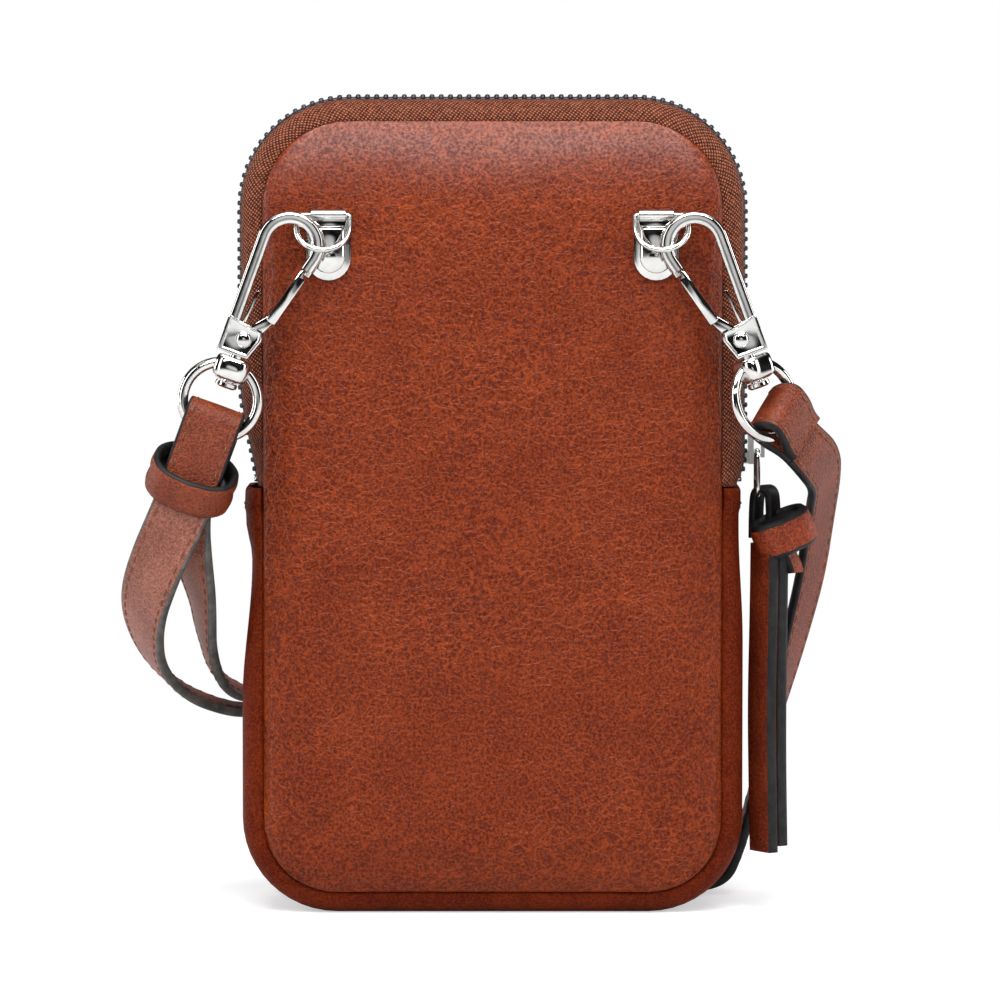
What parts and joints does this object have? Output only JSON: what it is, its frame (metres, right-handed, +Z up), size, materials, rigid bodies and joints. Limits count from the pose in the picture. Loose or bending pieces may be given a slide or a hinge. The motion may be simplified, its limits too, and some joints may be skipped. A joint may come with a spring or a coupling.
{
  "type": "phone pouch",
  "caption": "Padded leather phone pouch with a wrap-round zip, tassel pull, hanger plates, D-rings, swivel snap hooks and a folded shoulder strap.",
  "frame": {"origin": "middle of the base, on the surface the pouch stands on", "axes": "+Z up, +X to the right as seen from the hook side, +Y away from the hook side"},
  "size_m": [0.1646, 0.0612, 0.1861],
  "materials": {
    "leather": "pebbled grain, satin",
    "lining": "plain weave",
    "padding": "foam pad",
    "zip_tape": "woven tape",
    "zip_teeth": "moulded",
    "chrome": "polished plate"
  },
  "bodies": {
    "pouch": {"back_panel": "leather", "back_pad": "padding", "back_lining": "lining", "front_lower_panel": "leather", "front_lower_pad": "padding", "front_lower_lining": "lining", "lower_gusset": "leather", "gusset_lining": "lining", "gusset_hem_left": "leather", "gusset_hem_right": "leather", "zip_tape_back": "zip_tape", "zip_teeth_back": "zip_teeth", "zip_tape_front_ends": "zip_tape", "zip_teeth_front_ends": "zip_teeth", "zip_end_stops": "zip_teeth", "hanger_left": "chrome", "hanger_right": "chrome", "hanger_rivets": "chrome", "hanger_washers": "chrome", "strap_right_leg": "leather", "strap_hank": "leather", "hank_tie": "lining", "strap_left_inner": "leather", "strap_tail": "leather", "strap_stud": "chrome"},
    "front_flap": {"flap_panel": "leather", "flap_pad": "padding", "flap_lining": "lining", "zip_tape_front": "zip_tape", "zip_teeth_front": "zip_teeth"},
    "zip_slider": {"zip_slider": "chrome"},
    "zip_pull": {"pull_link": "chrome", "tassel_loop": "leather", "tassel_knot": "leather", "tassel_tail_front": "leather", "tassel_tail_rear": "leather"},
    "left_dring": {"left_dring": "chrome"},
    "left_hook": {"left_hook": "chrome", "left_gate_rivet": "chrome", "left_gate_spring": "chrome"},
    "left_gate": {"left_gate": "chrome"},
    "left_swivel": {"left_swivel_ring": "chrome", "strap_left_end": "leather"},
    "right_dring": {"right_dring": "chrome"},
    "right_hook": {"right_hook": "chrome", "right_gate_rivet": "chrome", "right_gate_spring": "chrome"},
    "right_gate": {"right_gate": "chrome"},
    "right_swivel": {"right_swivel_ring": "chrome", "strap_right_end": "leather"},
    "keeper": {"strap_keeper": "leather"}
  },
  "joints": [
    {"name": "mouth_open", "type": "hinge", "parent": "pouch", "child": "front_flap", "pos_m": [0, 0.017, 0.11], "axis": [-1, 0, 0], "range_deg": [0, 60]},
    {"name": "zip_slide", "type": "slide", "parent": "pouch", "child": "zip_slider", "axis": [0, 0, 1], "range_m": [0, 0.045]},
    {"name": "pull_swing", "type": "hinge", "parent": "zip_slider", "child": "zip_pull", "pos_m": [0.0605, 0, 0.1049], "axis": [0, -1, 0], "range_deg": [0, 40]},
    {"name": "left_dring_swing", "type": "hinge", "parent": "pouch", "child": "left_dring", "pos_m": [-0.038, -0.01835, 0.1589], "axis": [-1, 0, 0], "range_deg": [0, 45], "deforming": ["strap_left_inner", "strap_tail"]},
    {"name": "left_hook_swing", "type": "hinge", "parent": "left_dring", "child": "left_hook", "pos_m": [-0.044, -0.022, 0.1543], "axis": [0, 1, 0], "range_deg": [-8, 8]},
    {"name": "left_gate_open", "type": "hinge", "parent": "left_hook", "child": "left_gate", "pos_m": [-0.05582, -0.022, 0.13104], "axis": [0, -1, 0], "range_deg": [0, 20], "stiffness_Nm_per_rad": 0.05, "springref_deg": -8.59},
    {"name": "left_swivel_turn", "type": "hinge", "parent": "left_hook", "child": "left_swivel", "pos_m": [-0.0587, -0.022, 0.124], "axis": [0.342, 0, 0.9397], "range_deg": [-45, 45]},
    {"name": "right_dring_swing", "type": "hinge", "parent": "pouch", "child": "right_dring", "pos_m": [0.038, -0.01835, 0.1589], "axis": [-1, 0, 0], "range_deg": [0, 45], "deforming": ["strap_right_leg"]},
    {"name": "right_hook_swing", "type": "hinge", "parent": "right_dring", "child": "right_hook", "pos_m": [0.044, -0.022, 0.1543], "axis": [0, 1, 0], "range_deg": [-8, 8]},
    {"name": "right_gate_open", "type": "hinge", "parent": "right_hook", "child": "right_gate", "pos_m": [0.05582, -0.022, 0.13104], "axis": [0, 1, 0], "range_deg": [0, 20], "stiffness_Nm_per_rad": 0.05, "springref_deg": -8.59},
    {"name": "right_swivel_turn", "type": "hinge", "parent": "right_hook", "child": "right_swivel", "pos_m": [0.0587, -0.022, 0.124], "axis": [-0.342, 0, 0.9397], "range_deg": [-45, 45]},
    {"name": "keeper_slide", "type": "slide", "parent": "left_swivel", "child": "keeper", "axis": [0.342, 0, 0.9397], "range_m": [-0.001, 0.006]}
  ]
}
